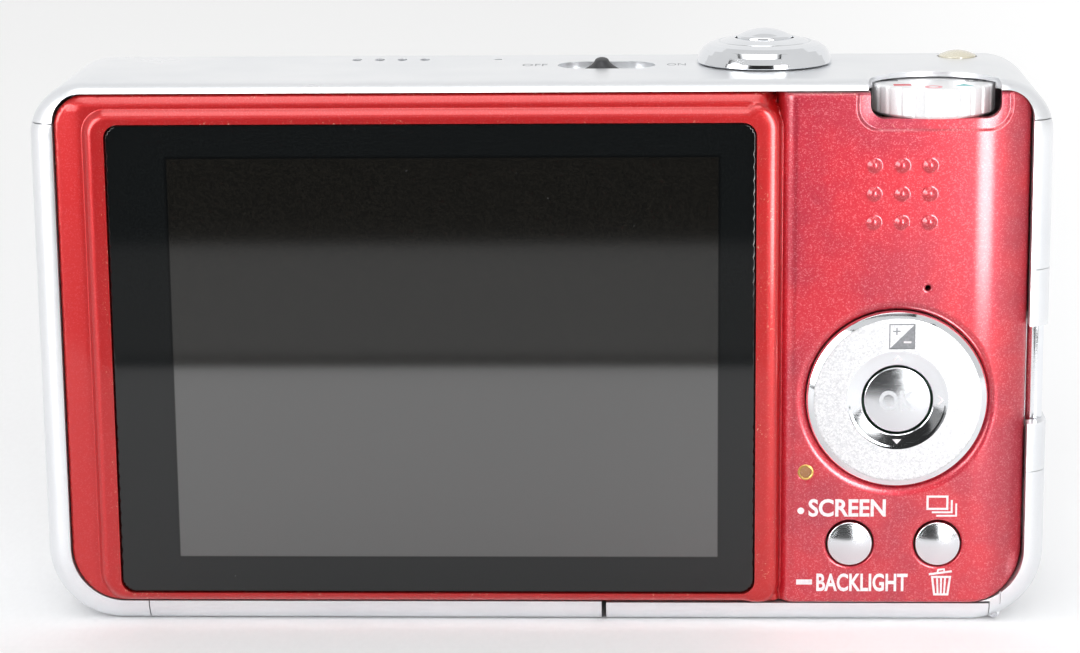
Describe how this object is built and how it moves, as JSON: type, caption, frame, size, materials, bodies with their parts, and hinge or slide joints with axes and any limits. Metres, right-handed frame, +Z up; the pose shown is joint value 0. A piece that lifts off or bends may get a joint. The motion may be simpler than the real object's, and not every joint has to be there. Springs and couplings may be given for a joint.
{
  "type": "compact digital camera",
  "caption": "Compact digital camera with a rear display, cursor pad, mode dial, zoom ring round the shutter button, retracting lens, battery door and tripod socket.",
  "frame": {"origin": "centre of the footprint, on the surface the camera stands on", "axes": "+X to the right as its user sees it, +Y from the display to the lens, +Z up"},
  "size_m": [0.0948, 0.025, 0.0552],
  "materials": {
    "red_shell": "metallic red paint, satin gloss",
    "silver_shell": "fine silver metallic, satin",
    "window_black": "clear hard-coated panel with a black border",
    "display_face": "dark display behind the window",
    "chrome_trim": "bright plated",
    "satin_key": "sparkling satin silver",
    "dial_silver": "satin silver with ridges",
    "knob_grey": "dark grey, fine grain",
    "gold_cap": "cream gold, glossy",
    "amber_light": "amber lens",
    "steel_part": "bright steel",
    "black_part": "black moulding",
    "grey_part": "grey moulding",
    "board_green": "solder-masked board",
    "brass_part": "turned brass",
    "lens_glass": "coated optical glass",
    "flash_glass": "ribbed clear window",
    "lamp_glass": "amber clear window",
    "battery_wrap": "dark printed sleeve",
    "card_blue": "moulded card",
    "mirror_metal": "bright reflector"
  },
  "bodies": {
    "camera_body": {"rear_cover": "red_shell", "front_cover": "silver_shell", "top_cover": "silver_shell", "bottom_cover": "silver_shell", "strap_plate": "silver_shell", "strap_bar": "chrome_trim", "battery_door_pin": "steel_part", "case_screws": "steel_part", "display_window": "window_black", "display_module": "display_face", "key_board": "board_green", "status_light": "amber_light", "shutter_spring": "steel_part", "dial_switch": "black_part", "top_board": "board_green", "chassis": "steel_part", "main_board": "board_green", "flash_capacitor": "black_part", "flash_reflector": "mirror_metal", "flash_tube": "flash_glass", "flash_window": "flash_glass", "focus_lamp": "lamp_glass", "speaker": "black_part", "microphone": "steel_part", "battery_box": "black_part", "battery": "battery_wrap", "memory_card": "card_blue", "terminal_socket": "steel_part", "tripod_socket": "brass_part", "lens_ring": "chrome_trim", "lens_base": "black_part", "image_sensor": "board_green", "guide_rods": "steel_part", "focus_motor": "steel_part", "zoom_motor": "steel_part"},
    "battery_door": {"battery_door": "silver_shell"},
    "door_latch": {"door_latch": "grey_part"},
    "terminal_door": {"terminal_door": "silver_shell"},
    "cursor_pivot": {"cursor_pivot": "black_part"},
    "cursor_ring": {"cursor_ring": "satin_key"},
    "centre_button": {"centre_button": "chrome_trim"},
    "display_button": {"display_button": "chrome_trim"},
    "delete_button": {"delete_button": "chrome_trim"},
    "shutter_button": {"shutter_button": "chrome_trim"},
    "zoom_lever": {"zoom_lever": "chrome_trim"},
    "power_switch": {"power_switch": "knob_grey"},
    "top_button": {"top_button": "gold_cap"},
    "mode_dial": {"mode_dial": "dial_silver"},
    "battery_catch": {"battery_catch": "grey_part"},
    "cam_ring": {"cam_ring": "black_part"},
    "outer_barrel": {"outer_barrel": "satin_key"},
    "inner_barrel": {"inner_barrel": "satin_key", "front_lens": "lens_glass"},
    "upper_blade": {"upper_blade": "black_part"},
    "lower_blade": {"lower_blade": "black_part"},
    "focus_group": {"focus_carriage": "black_part", "focus_lens": "lens_glass"},
    "focus_screw": {"focus_screw": "steel_part"},
    "motor_pinion": {"motor_pinion": "brass_part"},
    "drive_gear": {"drive_gear": "grey_part"}
  },
  "joints": [
    {"name": "shutter_press", "type": "slide", "parent": "camera_body", "child": "shutter_button", "axis": [0, 0, -1], "range_m": [0, 0.0009], "stiffness_N_per_m": 500, "deforming": ["shutter_spring"]},
    {"name": "zoom_lever_turn", "type": "hinge", "parent": "camera_body", "child": "zoom_lever", "pos_m": [0.0212, 0.0018, 0.053], "axis": [0, 0, 1], "range_deg": [-18, 18], "stiffness_Nm_per_rad": 0.006},
    {"name": "power_slide", "type": "slide", "parent": "camera_body", "child": "power_switch", "axis": [1, 0, 0], "range_m": [0, 0.003]},
    {"name": "top_button_press", "type": "slide", "parent": "camera_body", "child": "top_button", "axis": [0, 0, -1], "range_m": [0, 0.0004], "stiffness_N_per_m": 350},
    {"name": "mode_dial_turn", "type": "hinge", "parent": "camera_body", "child": "mode_dial", "pos_m": [0.0365, -0.0065, 0.0497], "axis": [0, 0, 1], "continuous": true},
    {"name": "cursor_tip_up_down", "type": "hinge", "parent": "camera_body", "child": "cursor_pivot", "pos_m": [0.0333, -0.0113, 0.0221], "axis": [1, 0, 0], "range_deg": [-2, 2], "stiffness_Nm_per_rad": 0.05},
    {"name": "cursor_tip_sideways", "type": "hinge", "parent": "cursor_pivot", "child": "cursor_ring", "pos_m": [0.0333, -0.0113, 0.0221], "axis": [0, 0, 1], "range_deg": [-2, 2], "stiffness_Nm_per_rad": 0.05},
    {"name": "centre_button_press", "type": "slide", "parent": "camera_body", "child": "centre_button", "axis": [0, 1, 0], "range_m": [0, 0.00035], "stiffness_N_per_m": 350},
    {"name": "display_button_press", "type": "slide", "parent": "camera_body", "child": "display_button", "axis": [0, 1, 0], "range_m": [0, 0.00035], "stiffness_N_per_m": 350},
    {"name": "delete_button_press", "type": "slide", "parent": "camera_body", "child": "delete_button", "axis": [0, 1, 0], "range_m": [0, 0.00035], "stiffness_N_per_m": 350},
    {"name": "battery_door_swing", "type": "hinge", "parent": "camera_body", "child": "battery_door", "pos_m": [0.04295, -0.0007, 0.00062], "axis": [0, -1, 0], "range_deg": [0, 95]},
    {"name": "door_latch_slide", "type": "slide", "parent": "battery_door", "child": "door_latch", "axis": [1, 0, 0], "range_m": [0, 0.0018]},
    {"name": "terminal_door_swing", "type": "hinge", "parent": "camera_body", "child": "terminal_door", "pos_m": [0.04683, 0.00475, 0.041], "axis": [0, 0, 1], "range_deg": [0, 90]},
    {"name": "battery_catch_push", "type": "slide", "parent": "camera_body", "child": "battery_catch", "axis": [0, 1, 0], "range_m": [0, 0.001], "stiffness_N_per_m": 300},
    {"name": "outer_barrel_slide", "type": "slide", "parent": "camera_body", "child": "outer_barrel", "axis": [0, 1, 0], "range_m": [0, 0.0115]},
    {"name": "inner_barrel_slide", "type": "slide", "parent": "outer_barrel", "child": "inner_barrel", "axis": [0, 1, 0], "range_m": [0, 0.009]},
    {"name": "cam_ring_turn", "type": "hinge", "parent": "camera_body", "child": "cam_ring", "pos_m": [-0.0155, 0.0001, 0.0245], "axis": [0, 1, 0], "range_deg": [0, 120]},
    {"name": "upper_blade_turn", "type": "hinge", "parent": "inner_barrel", "child": "upper_blade", "pos_m": [-0.0251, 0.00975, 0.0245], "axis": [0, -1, 0], "range_deg": [0, 35]},
    {"name": "lower_blade_turn", "type": "hinge", "parent": "inner_barrel", "child": "lower_blade", "pos_m": [-0.0059, 0.00975, 0.0245], "axis": [0, -1, 0], "range_deg": [0, 35]},
    {"name": "drive_gear_turn", "type": "hinge", "parent": "camera_body", "child": "drive_gear", "pos_m": [-0.03, -0.0033, 0.039], "axis": [0, 1, 0], "range_deg": [-496, 0]},
    {"name": "motor_pinion_turn", "type": "hinge", "parent": "camera_body", "child": "motor_pinion", "pos_m": [-0.03627, -0.0033, 0.04068], "axis": [0, 1, 0], "range_deg": [0, 793]},
    {"name": "focus_screw_turn", "type": "hinge", "parent": "camera_body", "child": "focus_screw", "pos_m": [-0.0155, 0.0001, 0.0153], "axis": [0, 1, 0], "range_deg": [0, 1080]},
    {"name": "focus_slide", "type": "slide", "parent": "camera_body", "child": "focus_group", "axis": [0, 1, 0], "range_m": [0, 0.003]}
  ],
  "couplings": [
    {"joint": "cam_ring_turn", "follows": "outer_barrel_slide", "rad_per_m": 182.1},
    {"joint": "inner_barrel_slide", "follows": "outer_barrel_slide", "ratio": 0.782},
    {"joint": "upper_blade_turn", "follows": "outer_barrel_slide", "rad_per_m": 53.1},
    {"joint": "lower_blade_turn", "follows": "outer_barrel_slide", "rad_per_m": 53.1},
    {"joint": "drive_gear_turn", "follows": "outer_barrel_slide", "rad_per_m": -751.16},
    {"joint": "motor_pinion_turn", "follows": "outer_barrel_slide", "rad_per_m": 1201.9},
    {"joint": "focus_screw_turn", "follows": "focus_slide", "rad_per_m": 6283}
  ]
}
